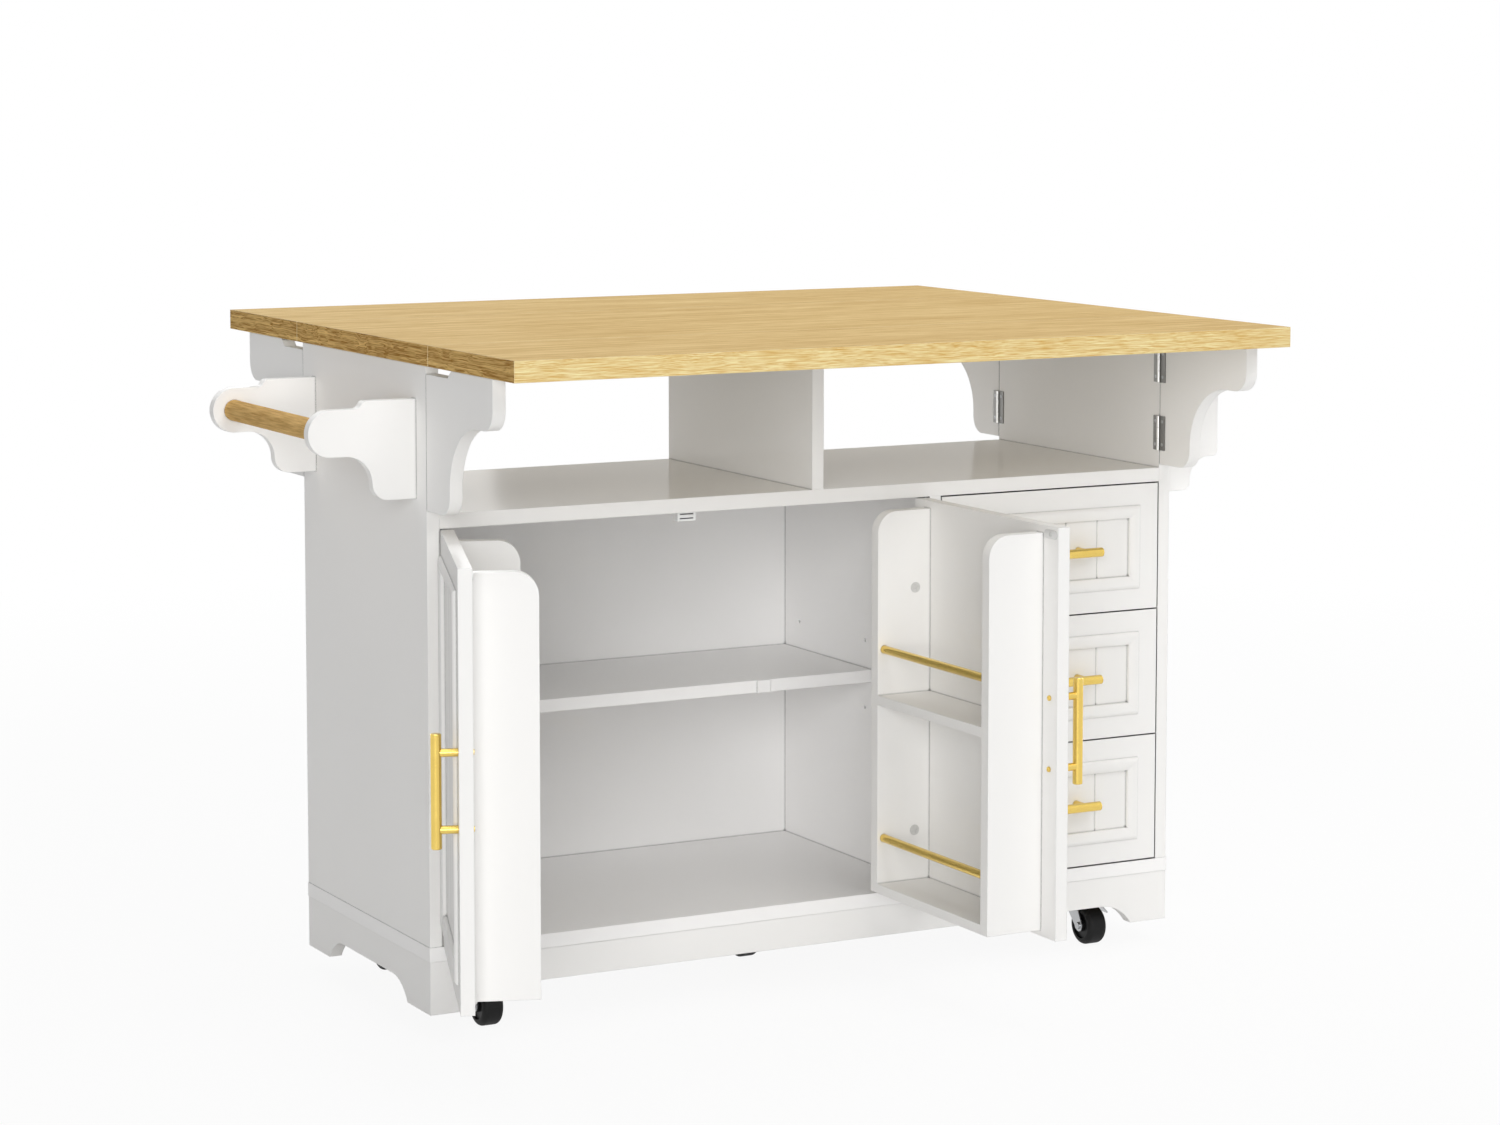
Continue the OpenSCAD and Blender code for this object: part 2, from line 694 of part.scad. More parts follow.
// outline of a towel arm: X is the reach from the panel, Y is the height
module towel_outline() {
    nose_x = towel_reach - arm_nose_r;
    step_r = 8;
    step_x = 70;
    rise = arm_top - arm_nose_z - arm_nose_r;
    run = 0.3 + sqrt(4 * step_r * step_r - pow(2 * step_r - rise, 2));
    under = arm_nose_z - arm_nose_r;
    cove_r = 38;
    heel_r = 22;
    waist = 62;
    cove_x = waist + cove_r;
    difference() {
        union() {
            translate([0, arm_foot]) square([step_x, arm_top - arm_foot]);
            translate([0, under]) square([nose_x, 2 * arm_nose_r]);
            translate([nose_x, arm_nose_z]) circle(r = arm_nose_r, $fn = 4 * curve);
            translate([step_x, arm_top - step_r]) circle(r = step_r, $fn = 2 * curve);
            polygon([[step_x - 1, arm_top - rise - 1], [step_x, arm_top],
                [step_x + run / 2, arm_top - rise / 2], [step_x + run, arm_top - rise],
                [step_x + run, arm_top - rise - 1]]);
            translate([waist, under - 1]) square([cove_r, 1]);
            translate([0, arm_foot + heel_r]) square([cove_x, under - arm_foot - heel_r]);
        }
        translate([step_x + run, arm_top - rise + step_r]) circle(r = step_r, $fn = 2 * curve);
        translate([cove_x, under - cove_r]) circle(r = cove_r, $fn = 4 * curve);
        translate([waist, 0]) square([towel_reach, arm_foot + heel_r]);
        translate([cove_x, 0]) square([towel_reach, under]);
        corner_waste([waist - heel_r, arm_foot + heel_r], heel_r, 1, -1);
        translate([waist, 0]) square([towel_reach, under - cove_r]);
    }
}

module towel_arms() color("White") place() difference() {
    for (s = [-1, 1]) translate([-hw, s * (arm_y + arm_thick / 2) + arm_thick / 2, 0]) mirror([1, 0, 0])
        rotate([90, 0, 0]) linear_extrude(arm_thick) towel_outline();
    bar_y(-hw - towel_reach + arm_nose_r, arm_nose_z, towel_diameter / 2 + running,
        -arm_y - 8, arm_y + 8, 64);
}

module towel_bar() color("Peru") place()
    bar_y(-hw - towel_reach + arm_nose_r, arm_nose_z, towel_diameter / 2, -arm_y - 8, arm_y + 8, 64);

// outline of a spice rack end: X is the reach from the panel, Y is the height
module spice_outline() {
    lip = spice_floor - 2;
    cove_r = 33;
    cove_x = spice_reach - 16;
    waist = cove_x - cove_r;
    heel_r = 12;
    tip_r = 8;
    nose_r = 25;
    difference() {
        translate([0, spice_foot]) square([spice_reach, arm_top - spice_foot]);
        translate([cove_x, lip - cove_r]) circle(r = cove_r, $fn = 4 * curve);
        translate([cove_x, 0]) square([spice_reach, lip]);
        translate([waist, 0]) square([spice_reach, lip - cove_r]);
        corner_waste([spice_reach - tip_r, lip + tip_r], tip_r, 1, -1);
        corner_waste([waist - heel_r, spice_foot + heel_r], heel_r, 1, -1);
        corner_waste([spice_reach - nose_r, arm_top - nose_r], nose_r, 1, 1);
    }
}

module spice_rack() color("White") place() {
    difference() {
        for (s = [-1, 1]) translate([hw, s * (arm_y + arm_thick / 2) + arm_thick / 2, 0])
            rotate([90, 0, 0]) linear_extrude(arm_thick) spice_outline();
        spice_rail(6 + running, rack_rail_r + running);
    }
    block([hw, -arm_y + joint, spice_floor], [hw + spice_reach - 3, arm_y - joint, spice_floor + rack_shelf]);
    color("Goldenrod") spice_rail(6, rack_rail_r);
}

module spice_rail(into, r)
    bar_y(hw + spice_reach - rack_rail_back, spice_floor + rack_shelf + rack_rail_rise, r,
        -arm_y - into, arm_y + into, 24);

// ---- casters ----

// plate, ball race and king pin of each caster, fixed under the bearers
module caster_plates() color("Silver") place() for (c = CASTERS) translate([c[0], c[1], 0]) {
    block([-19, -19, bearer_under - 2], [19, 19, bearer_under]);
    translate([0, 0, crown_z + 2.9]) cylinder(r = 13, h = bearer_under - 2 - crown_z - 2.9, $fn = curve);
    translate([0, 0, crown_z - 1.8]) cylinder(r = king_r, h = bearer_under - crown_z, $fn = 24);
    translate([0, 0, crown_z - 2.2]) cylinder(r = 6.5, h = 1.8, $fn = 24);
}

// outline of a fork leg: X is the distance from the swivel axis, Y is the height
module leg_outline() {
    difference() {
        union() {
            translate([wheel_trail, wheel_r]) circle(r = 8.5, $fn = 2 * curve);
            polygon([[-13, crown_z], [13, crown_z], [wheel_trail + 8.2, wheel_r + 2.2],
                [wheel_trail - 5, wheel_r - 6.8], [-13, crown_z - 8]]);
            translate([-13, crown_z - 1]) square([26, 3.5]);
        }
    }
}

// a fork with its axle bolt, trailing towards d; the side lever locks the wheel
module fork(c, lever) color("Silver") place() translate([c[0], c[1], 0]) mirror([0, c[2] > 0 ? 0 : 1, 0]) {
    side = wheel_width / 2 + 1;
    difference() {
        block([-side - 2, -13, crown_z], [side + 2, 13, crown_z + 2.5]);
        translate([0, 0, crown_z - 1]) cylinder(r = king_r + running, h = 5, $fn = 24);
    }
    for (m = [0, 1]) mirror([m, 0, 0]) translate([side, 0, 0])
        rotate([90, 0, 90]) linear_extrude(2) leg_outline();
    bar_x(-side - 3, side + 3, wheel_trail, wheel_r, axle_r, 24);
    for (m = [0, 1]) mirror([m, 0, 0]) bar_x(side + 2, side + 5, wheel_trail, wheel_r, 5.2, 24);
    if (lever) mirror([c[0] > 0 ? 0 : 1, 0, 0]) translate([side + 2, 0, crown_z - 1]) rotate([90, 0, 0])
        translate([0, 0, -8]) linear_extrude(16)
            polygon([[0, 0], [0, 2.4], [4, 2.4], [24, -19], [22.4, -20.4], [3, 0.4]]);
}

// a wheel with a rounded tread and dished sides, turning on the axle
module wheel(c) color("Black") place()
    translate([c[0], c[1] + c[2] * wheel_trail, wheel_r]) rotate([0, 90, 0]) rotate_extrude($fn = 64)
        difference() {
            translate([axle_r + running, -wheel_width / 2]) square([wheel_r - axle_r - running, wheel_width]);
            for (s = [-1, 1]) {
                mirror([0, s > 0 ? 0 : 1]) corner_waste([wheel_r - 7, wheel_width / 2 - 7], 7, 1, 1);
                translate([9, s > 0 ? wheel_width / 2 - 3 : -wheel_width / 2 - 1]) square([10, 4]);
            }
        }

module fork_front_left() fork(CASTERS[0], true);
module fork_front_right() fork(CASTERS[1], true);
module fork_back_left() fork(CASTERS[2], false);
module fork_back_right() fork(CASTERS[3], false);
module fork_centre() fork(CASTERS[4], false);
module wheel_front_left() wheel(CASTERS[0]);
module wheel_front_right() wheel(CASTERS[1]);
module wheel_back_left() wheel(CASTERS[2]);
module wheel_back_right() wheel(CASTERS[3]);
module wheel_centre() wheel(CASTERS[4]);

worktop_centre();
leaf_front();
leaf_back();
leaf_hinge_plates();
leaf_flaps_front();
leaf_flaps_back();
side_panel_left();
side_panel_right();
partition();
upper_divider();
deck_panel();
bottom_panel();
back_panel();
inner_shelf();
shelf_pins();
base_aprons();
caster_bearers();
hinge_pins();
bracket_hinge_plates();
bracket_front_left();
bracket_front_right();
bracket_back_left();
bracket_back_right();
bracket_flaps_front_left();
bracket_flaps_front_right();
bracket_flaps_back_left();
bracket_flaps_back_right();
door_left();
door_left_rack();
door_left_metalwork();
door_left_handle();
door_right();
door_right_rack();
door_right_metalwork();
door_right_handle();
magnetic_catch();
drawer_runners();
drawer_top_front();
drawer_top_box();
drawer_top_handle();
drawer_middle_front();
drawer_middle_box();
drawer_middle_handle();
drawer_bottom_front();
drawer_bottom_box();
drawer_bottom_handle();
towel_arms();
towel_bar();
spice_rack();
caster_plates();
fork_front_left();
fork_front_right();
fork_back_left();
fork_back_right();
fork_centre();
wheel_front_left();
wheel_front_right();
wheel_back_left();
wheel_back_right();
wheel_centre();
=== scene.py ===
import json
import math

import bpy
from mathutils import Matrix, Vector


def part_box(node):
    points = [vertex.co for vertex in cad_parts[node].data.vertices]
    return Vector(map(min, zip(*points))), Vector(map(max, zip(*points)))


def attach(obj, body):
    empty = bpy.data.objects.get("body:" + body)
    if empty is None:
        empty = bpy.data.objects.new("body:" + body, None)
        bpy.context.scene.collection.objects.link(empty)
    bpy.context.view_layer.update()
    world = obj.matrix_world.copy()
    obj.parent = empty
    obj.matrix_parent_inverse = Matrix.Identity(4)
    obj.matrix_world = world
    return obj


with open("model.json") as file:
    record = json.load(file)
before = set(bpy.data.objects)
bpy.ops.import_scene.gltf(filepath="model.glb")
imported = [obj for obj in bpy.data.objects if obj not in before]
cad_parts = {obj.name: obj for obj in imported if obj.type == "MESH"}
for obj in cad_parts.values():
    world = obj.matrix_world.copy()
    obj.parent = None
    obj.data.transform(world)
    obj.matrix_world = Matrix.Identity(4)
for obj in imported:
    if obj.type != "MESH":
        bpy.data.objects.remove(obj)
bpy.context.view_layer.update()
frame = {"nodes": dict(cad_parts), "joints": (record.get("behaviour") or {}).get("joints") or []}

# ---- Worktop: the fixed centre board and the two drop leaves ----
# Chipboard 28 mm thick under a satin oak laminate, its grain running from side to side. The
# long edges are banded in a yellower oak and the short ones in a darker, wavier cut, and the
# underside has a pale backing sheet.


class Reading:
    """A number that varies over a surface. A sum on it adds a Math node to its material."""

    def __init__(self, socket):
        self.socket = socket

    @staticmethod
    def sum(operation, *terms):
        tree = next(term.socket.id_data for term in terms if isinstance(term, Reading))
        node = tree.nodes.new("ShaderNodeMath")
        node.operation = operation
        for place, term in zip(node.inputs, terms):
            if isinstance(term, Reading):
                tree.links.new(term.socket, place)
            else:
                place.default_value = term
        return Reading(node.outputs[0])

    def __add__(self, other):
        return self.sum("ADD", self, other)

    def __sub__(self, other):
        return self.sum("SUBTRACT", self, other)

    def __rsub__(self, other):
        return self.sum("SUBTRACT", other, self)

    def __mul__(self, other):
        return self.sum("MULTIPLY", self, other)

    def __pow__(self, other):
        return self.sum("POWER", self, other)

    def __gt__(self, other):
        return self.sum("GREATER_THAN", self, other)

    def __lt__(self, other):
        return self.sum("LESS_THAN", self, other)

    def __abs__(self):
        return self.sum("ABSOLUTE", self)

    __radd__ = __add__
    __rmul__ = __mul__

    def held(self, low, high):
        """The same number, kept between two limits."""
        return self.sum("MINIMUM", self.sum("MAXIMUM", self, low), high)


class Finish:
    """A material in the making. What is the same all over is set on the shader's own sockets."""

    def __init__(self, name, fixed):
        self.material = bpy.data.materials.new(name)
        self.material.use_nodes = True
        self.tree = self.material.node_tree
        self.shader = self.tree.nodes["Principled BSDF"]
        for socket, value in fixed.items():
            self.shader.inputs[socket].default_value = value

    def feed(self, socket, value):
        """Links a reading to a socket, or sets a plain value on it."""
        if isinstance(value, Reading):
            self.tree.links.new(value.socket, socket)
        else:
            socket.default_value = value

    def node(self, kind, settings, sockets, output=0):
        """Adds a node of any kind: its settings first, then the values or links of its sockets."""
        made = self.tree.nodes.new("ShaderNode" + kind)
        for setting, value in settings.items():
            setattr(made, setting, value)
        for socket, value in sockets.items():
            self.feed(made.inputs[socket], value)
        return Reading(made.outputs[output])

    def place(self):
        """Where a point of the surface is on the object, in metres."""
        return self.node("TexCoord", {}, {}, "Object")

    def axes(self, vector):
        """The three numbers of a vector."""
        parts = self.node("SeparateXYZ", {}, {0: vector}).socket.node
        return [Reading(parts.outputs[i]) for i in range(3)]

    def noise(self, vector, stretch, detail=2.0, rough=0.5, twist=0.0):
        """Soft random pattern with so many patches to the metre along each axis."""
        scaled = self.node("VectorMath", {"operation": "MULTIPLY"}, {0: vector, 1: stretch})
        sockets = {"Vector": scaled, "Scale": 1.0, "Detail": detail, "Roughness": rough, "Distortion": twist}
        return self.node("TexNoise", {}, sockets, "Fac")

    def blend(self, share, one, other):
        """A colour between two colours."""
        return self.node("Mix", {"data_type": "RGBA"}, {0: share, 6: one, 7: other}, 2)

    def eased(self, radius):
        """The surface's direction, with its edges eased to a small radius."""
        return self.node("Bevel", {"samples": 4}, {"Radius": radius})

    def near_edge(self, eased):
        """1 on an eased edge, down to 0 where the surface is flat."""
        true = self.node("NewGeometry", {}, {}, "Normal")
        match = self.node("VectorMath", {"operation": "DOT_PRODUCT"}, {0: eased, 1: true}, "Value")
        return ((1 - match) * 5.0).held(0.0, 1.0)

    def openness(self, reach, shut, gain):
        """1 on a free face, down to 0 in a narrow groove, where the share shut or less is free."""
        free = self.node("AmbientOcclusion", {"samples": 6}, {"Distance": reach}, "AO")
        return ((free - shut) * gain).held(0.0, 1.0)

    def relief(self, height, depth, direction):
        """Fine relief of the given depth in metres."""
        sockets = {"Strength": 1.0, "Distance": depth, "Height": height, "Normal": direction}
        return self.node("Bump", {}, sockets)

    def done(self, **fed):
        """Feeds the shader's sockets, named in small letters with _ for a space."""
        for socket, value in fed.items():
            self.feed(self.shader.inputs[socket.replace("_", " ").title()], value)
        return self


def tone(red, green, blue):
    """A colour given as a colour card has it, from 0 to 255, in the shader's linear numbers."""
    return (*(((c / 255 + 0.055) / 1.055) ** 2.4 for c in (red, green, blue)), 1.0)


def dress(finish, *nodes):
    """Gives CAD nodes a finish in place of the plain one that they came with."""
    for node in nodes:
        for slot in frame["nodes"][node].material_slots:
            slot.link = "OBJECT"
            slot.material = finish.material


# a face looks along an axis where its direction has more than this share of it
LOOKS_ALONG = 0.7
OAK_VARNISH = {"Specular IOR Level": 0.0, "Coat Weight": 0.05, "Coat Roughness": 0.3}


def oak_laminate():
    oak = Finish("oak laminate", OAK_VARNISH)
    x, y, z = oak.axes(oak.place())
    nx, ny, nz = oak.axes(oak.node("TexCoord", {}, {}, "Normal"))
    end = abs(nx) > LOOKS_ALONG
    edge = abs(ny) > LOOKS_ALONG
    # the grain runs along X, but along Y on the banding of the short edges
    along = x + (y - x) * end
    across = y + (x - y) * end
    sway = oak.noise(oak.node("CombineXYZ", {}, {0: along, 1: across, 2: z}), (14.0, 26.0, 26.0), 1.0)
    waver = (sway - 0.5) * (0.002 + edge * 0.003 + end * 0.012)
    # the flecks are finer on all edges, and also shorter on the long ones and longer on the ends
    drawn = along * (1.0 + edge * 0.6 - end * 0.3)
    fine = 1.0 + edge * 1.2 + end * 0.6
    grain = oak.node("CombineXYZ", {}, {0: drawn, 1: (across + waver) * fine, 2: (z + waver) * fine})
    figure = oak.noise(grain, (5.0, 80.0, 80.0), 4.0, 0.7)
    fibre = oak.noise(grain, (14.0, 480.0, 480.0), 3.0, 0.6)
    streak = oak.noise(grain, (4.0, 150.0, 150.0), 2.0, 0.5)
    broad = oak.noise(grain, (0.7, 13.0, 13.0), 1.0)
    pore = (oak.noise(grain, (26.0, 620.0, 620.0), 1.0) - 0.55).held(0.0, 0.2) * 3.0
    # dark lines follow the middle of the streaks
    line = (0.05 - abs(streak - 0.5)).held(0.0, 0.05) * 20.0
    # 0 is the darkest wood and 1 the palest, and each pattern swings it about a half
    contrast = 0.62 + edge * 0.14 + end * 0.20
    swing = (fibre - 0.5) * (1.9 + edge * 0.8) + (streak - 0.5) * (0.8 - edge * 0.4)
    swing = swing + (broad - 0.5) * 0.3 + (figure - 0.5) * (1.9 - edge * 1.7 - end * 1.0)
    depth = swing * contrast + 0.5 - pore * contrast
    depth = (depth - line * (0.12 + edge * 0.1 + end * 0.38)).held(0.0, 1.0)
    face = oak.blend(depth, tone(195, 159, 99), tone(245, 219, 164))
    banding = oak.blend(depth, tone(212, 166, 86), tone(255, 246, 194))
    short = oak.blend(depth, tone(158, 114, 54), tone(252, 216, 142))
    colour = oak.blend(end, oak.blend(edge, face, banding), short)
    backing = oak.blend(streak, tone(226, 216, 198), tone(234, 226, 211))
    colour = oak.blend(nz < -LOOKS_ALONG, colour, backing)
    # the eased edges are painted a pale cream: a painted highlight along them
    round_edge = oak.eased(0.0013)
    return oak.done(
        base_color=oak.blend(oak.near_edge(round_edge) * 0.7, colour, tone(253, 240, 205)),
        roughness=0.34 + (1 - depth) * 0.14,
        normal=oak.relief(depth, 0.0001, round_edge),
    )


dress(oak_laminate(), "worktop_centre", "leaf_front", "leaf_back")

# ---- Flap hinges of the leaves ----
# Stamped steel hinges in a satin nickel plating, four to a leaf, screwed flat against the
# underside of the boards. Each half is held by three oval-headed screws with a cross recess.

# the worktop is centred over the cabinet, so its middle is the cabinet's too
top_low, top_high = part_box("worktop_centre")
MIDDLE = Vector(((top_low.x + top_high.x) / 2, (top_low.y + top_high.y) / 2, 0.0))
JOINTS = {joint["name"]: joint for joint in frame["joints"]}


def at(x, y, z):
    """A point given from the middle of the cabinet, in metres."""
    return MIDDLE + Vector((x, y, z))


def pivot(joint):
    """Where a joint turns."""
    return Vector(JOINTS[joint]["pos_m"])


def metal(name, colour, rough, scratches, metallic=1.0, barrel_y=None):
    """Plated metal with so many scratches to the metre. Hinge barrels that far from the middle get a painted
    highlight.
    """
    plate = Finish(name, {"Metallic": metallic})
    here = plate.place()
    grain = plate.noise(here, (scratches, scratches, scratches), 2.0, 0.6)
    cloud = plate.noise(here, (35.0, 35.0, 35.0), 2.0)
    dull = tuple(c * 0.8 for c in colour[:3]) + (1.0,)
    shade = plate.blend((grain * 0.7 + cloud * 0.5).held(0.0, 1.0), dull, colour)
    if barrel_y is not None:
        # the barrel is painted near white: a painted highlight along it
        barrel_radius = 0.0022
        on_barrel = abs(abs(plate.axes(here)[1] - MIDDLE.y) - barrel_y) < barrel_radius
        shade = plate.blend(on_barrel, shade, tone(244, 244, 242))
    # recesses and the line round each piece are in shadow
    clear = plate.openness(0.0015, 0.15, 1.8)
    return plate.done(
        base_color=plate.blend(clear, tone(62, 62, 61), shade),
        roughness=(rough + (grain - 0.5) * 0.16 + (cloud - 0.5) * 0.1).held(0.05, 1.0),
        normal=plate.relief(grain, 0.00003, plate.eased(0.0004)),
    )


nickel = metal("satin nickel plated steel", tone(160, 159, 156), 0.40, 420.0)
dress(nickel, "leaf_hinge_plates", "leaf_flaps_front", "leaf_flaps_back")

zinc = metal("zinc plated steel", tone(196, 197, 199), 0.34, 300.0)
dress(zinc, "hinge_pins", "shelf_pins")


def alone(piece):
    """Leaves one piece selected and active."""
    bpy.ops.object.select_all(action="DESELECT")
    piece.select_set(True)
    bpy.context.view_layer.objects.active = piece


def pick_faces(piece, wanted):
    """Selects the faces of the piece in edit mode for which wanted(face) holds."""
    bpy.ops.object.mode_set(mode="OBJECT")
    for face in piece.data.polygons:
        face.select = wanted(face)
    for part in (piece.data.edges, piece.data.vertices):
        for item in part:
            item.select = False
    bpy.ops.object.mode_set(mode="EDIT")
    bpy.ops.mesh.select_mode(type="FACE")


def cross_screw(radius, rise, slot):
    """A screw head standing on z = 0, slightly domed, with a cross recess of half width slot."""
    bpy.ops.object.select_all(action="DESELECT")
    bpy.ops.mesh.primitive_cylinder_add(vertices=24, radius=radius, depth=rise, location=(0, 0, rise / 2))
    head = bpy.context.object
    bpy.ops.object.transform_apply(location=True, rotation=True, scale=True)
    pick_faces(head, lambda face: face.normal.z > 0.9)
    bpy.ops.mesh.inset(thickness=radius * 0.28)
    bpy.ops.transform.translate(value=(0, 0, rise * 0.45))
    bpy.ops.object.mode_set(mode="OBJECT")
    for turn in (0, math.pi / 2):
        bpy.ops.object.select_all(action="DESELECT")
        bpy.ops.mesh.primitive_cube_add(size=1, location=(0, 0, rise * 1.3), rotation=(0, 0, turn))
        cutter = bpy.context.object
        cutter.scale = (radius * 1.15, slot * 2, rise * 1.5)
        cut = head.modifiers.new("recess", "BOOLEAN")
        cut.object = cutter
        cut.solver = "EXACT"
        alone(head)
        bpy.ops.object.modifier_apply(modifier=cut.name)
        bpy.data.objects.remove(cutter)
    return head


def facing(point, direction, turn):
    """The place of a small piece that stands at a point, looks in a direction and is turned about it."""
    lean = Vector(direction).to_track_quat("Z", "Y").to_matrix().to_4x4()
    return Matrix.Translation(point) @ lean @ Matrix.Rotation(turn, 4, "Z")


def set_out(model, name, body, finish, places):
    """Copies a small piece to all its places, as one object that rides on a body."""
    copies = []
    for place in places:
        copy = model.copy()
        copy.data = model.data.copy()
        copy.matrix_world = place
        bpy.context.collection.objects.link(copy)
        copies.append(copy)
    alone(copies[0])
    for copy in copies:
        copy.select_set(True)
    bpy.context.view_layer.update()
    if len(copies) > 1:
        bpy.ops.object.join()
    group = bpy.context.object
    bpy.ops.object.transform_apply(location=True, rotation=True, scale=True)
    group.name = name
    group.data.materials.clear()
    group.data.materials.append(finish.material)
    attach(group, body)


hinge_screw = cross_screw(0.0031, 0.0004, 0.00042)
leaf_hinge_x = (-0.529, -0.180, 0.180, 0.529)
leaf_hinge_thick = 0.0018
hinge_face_z = top_low.z - leaf_hinge_thick
# each half has two screws beside the seam and one further away from it, no two at the same turn
hinge_holes = ((-0.013, 0.013), (0.013, 0.013), (0.0, 0.027))
for side, leaf in ((-1, "leaf_front"), (1, "leaf_back")):
    seam_y = pivot(f"{leaf}_hinge").y - MIDDLE.y
    for half, away, body in (("plates", -side, "cabinet"), ("flaps", side, leaf)):
        spots = [
            facing(at(x + dx, seam_y + away * dy, hinge_face_z), (0, 0, -1), 600 * dx)
            for x in leaf_hinge_x
            for dx, dy in hinge_holes
        ]
        set_out(hinge_screw, f"screws_{leaf}_{half}", body, nickel, spots)

# ---- Cabinet ----
# Boards with eased edges. The sides, divider and deck are in a satin white paint, rolled on with
# a faint fine relief. The partition, floor, back and inner shelf are faced with white melamine,
# set a little paler than the paint as painted light for the cupboard's inside.


class Paint(Finish):
    """White paint rolled on a board, with a painted highlight along its edges and painted shade down grooves
    and joints.
    """

    def __init__(self, name, dull, bright, fixed):
        super().__init__(name, fixed)
        here = self.place()
        self.cloud = self.noise(here, (4.0, 4.0, 4.0), 2.0)
        self.rolled = self.noise(here, (620.0, 620.0, 620.0), 2.0, 0.6)
        self.round_edge = self.eased(0.0016)
        self.near = self.near_edge(self.round_edge)
        # the eased edges are painted near white: a painted highlight along them
        plain = self.blend(self.near, self.blend(self.cloud, dull, bright), tone(254, 254, 253))
        # grooves and joints are painted dark grey: painted shade down them
        clear = self.openness(0.0045, 0.22, 2.0)
        self.colour = self.blend(clear, tone(92, 92, 91), plain)


def satin_paint(name, dull, bright):
    """White paint with a soft sheen, between two tones."""
    fixed = {"Specular IOR Level": 0.0, "Coat Weight": 0.35, "Coat Roughness": 0.12}
    paint = Paint(name, dull, bright, fixed)
    patches = (paint.cloud - 0.5) * 0.03 + (paint.rolled - 0.5) * 0.05
    return paint.done(
        base_color=paint.colour,
        roughness=0.30 + patches - paint.near * 0.08,
        normal=paint.relief(paint.rolled, 0.00002, paint.round_edge),
    )


paint_tones = (tone(247, 246, 244), tone(249, 248, 246))
white_paint = satin_paint("satin white paint", *paint_tones)
dress(white_paint, "side_panel_left", "side_panel_right", "upper_divider", "deck_panel")
# the inside boards are a little paler than the paint: painted light that brightens the cupboard's inside
white_facing = satin_paint("white melamine facing", tone(252, 251, 250), tone(254, 253, 252))
dress(white_facing, "partition", "bottom_panel", "back_panel", "inner_shelf")

# ---- Magnetic catch ----
# A white moulded block screwed under the deck, with two slots in its front face. Their backs, a
# little behind the face, are painted dark grey: painted shade down the slots.


def moulded_white(slot_back_y):
    """White plastic with a painted highlight on its eased edges, and painted shade in dark grey on the faces
    at the given depth, the backs of the slots.
    """
    plastic = Finish("white moulded plastic", {"Roughness": 0.35})
    here = plastic.place()
    fine = plastic.noise(here, (900.0, 900.0, 900.0), 1.0)
    round_edge = plastic.eased(0.0005)
    # the backs of the slots are painted dark grey: painted shade down the slots
    slot_shade = abs(plastic.axes(here)[1] - slot_back_y) < 0.0001
    # the eased edges are painted pure white: a painted highlight along them
    colour = plastic.blend(plastic.near_edge(round_edge), tone(252, 252, 251), tone(255, 255, 255))
    return plastic.done(
        base_color=plastic.blend(slot_shade, colour, tone(92, 92, 94)),
        normal=plastic.relief(fine, 0.00002, round_edge),
    )


slot_depth = 0.0015
catch_front_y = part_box("magnetic_catch")[0].y
dress(moulded_white(catch_front_y + slot_depth), "magnetic_catch")

# ---- Base and bearers ----
# Four painted boards with long cut-outs between their feet. Behind them three bearers of plain
# pale wood run from front to back and carry the casters.

dress(white_paint, "base_aprons")


def pale_wood(name, stretch, steel_from=None):
    """Unpainted pine with its grain so stretched, and steel further from a middle x than a half width."""
    pine = Finish(name, {})
    here = pine.place()
    grain = pine.noise(here, stretch, 3.0, 0.6, 0.4)
    broad = pine.noise(here, tuple(s / 9 for s in stretch), 1.0)
    round_edge = pine.eased(0.0008)
    depth = ((grain - 0.5) * 1.6 + (broad - 0.5) * 1.0 + 0.5).held(0.0, 1.0)
    colour = pine.blend(depth, tone(205, 178, 138), tone(238, 219, 185))
    if steel_from is None:
        return pine.done(base_color=colour, roughness=0.6, normal=pine.relief(grain, 0.0001, round_edge))
    middle_x, half_width = steel_from
    steel = abs(pine.axes(here)[0] - middle_x) > half_width
    return pine.done(
        base_color=pine.blend(steel, colour, tone(190, 191, 193)),
        roughness=0.6 - steel * 0.25,
        metallic=steel,
        normal=pine.relief(grain * (1 - steel), 0.0001, round_edge),
    )


dress(pale_wood("pale wood bearers", (160.0, 12.0, 160.0)), "caster_bearers")

# ---- Casters ----
# Pressed steel forks on a ball race, with a black rubber wheel that turns on its axle bolt.
# Four screws hold each plate. The front two have a lever that locks the wheel.

CASTERS = ("front_left", "front_right", "back_left", "back_right", "centre")
dress(zinc, "caster_plates", *(f"fork_{name}" for name in CASTERS))

plate_screw = cross_screw(0.0027, 0.0007, 0.0004)
plate_hole = 0.0155
plate_thick = 0.002
plate_face_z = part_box("caster_bearers")[0].z - plate_thick
plate_spots = []
for name in CASTERS:
    king_pin = pivot(f"caster_{name}_swivel")
    for sx in (-1, 1):
        for sy in (-1, 1):
            hole = Vector((king_pin.x + sx * plate_hole, king_pin.y + sy * plate_hole, plate_face_z))
            plate_spots.append(facing(hole, (0, 0, -1), sx + sy * 0.4))
set_out(plate_screw, "screws_caster_plates", "cabinet", zinc, plate_spots)


